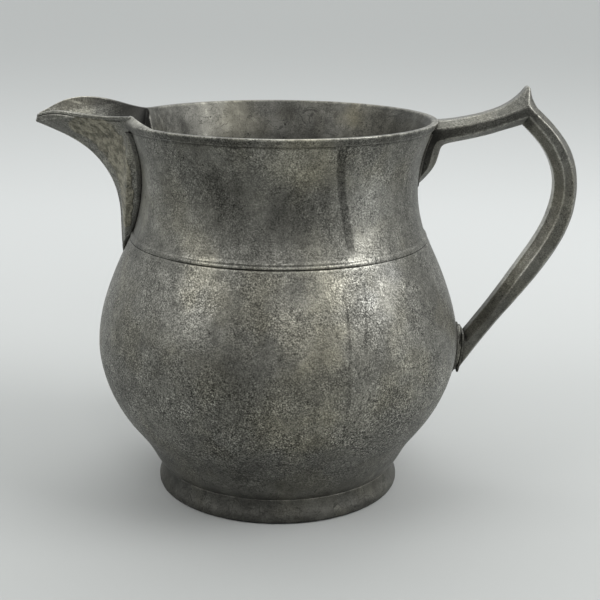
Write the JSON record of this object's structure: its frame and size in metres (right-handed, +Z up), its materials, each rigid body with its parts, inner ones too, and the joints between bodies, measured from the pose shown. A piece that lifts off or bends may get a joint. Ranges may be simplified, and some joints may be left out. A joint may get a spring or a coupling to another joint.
{
  "type": "pewter pouring jug",
  "caption": "Bellied pouring jug of cast and soldered pewter with an open V-shaped beak spout, an angular bevelled side handle with a thumb spur, and a low ring foot.",
  "frame": {"origin": "centre of the foot ring's flat underside, on the body's axis", "axes": "+Z up the body's axis, +X towards the handle, -X towards the spout, so the jug's plane is Y = 0"},
  "size_m": [0.1865, 0.1276, 0.1435],
  "materials": {
    "pewter": "dull oxidised pewter, finely pitted",
    "solder": "rough tin and lead solder, greyer and more matt than the castings"
  },
  "bodies": {
    "root": {"neck": "pewter", "upper_belly": "pewter", "lower_belly": "pewter", "foot_ring": "pewter", "spout": "pewter", "handle": "pewter", "lower_handle_pad": "pewter", "waist_solder": "solder", "girth_solder": "solder", "foot_solder": "solder", "spout_solder": "solder", "upper_handle_solder": "solder", "lower_handle_solder": "solder", "pad_solder": "solder"}
  },
  "joints": []
}
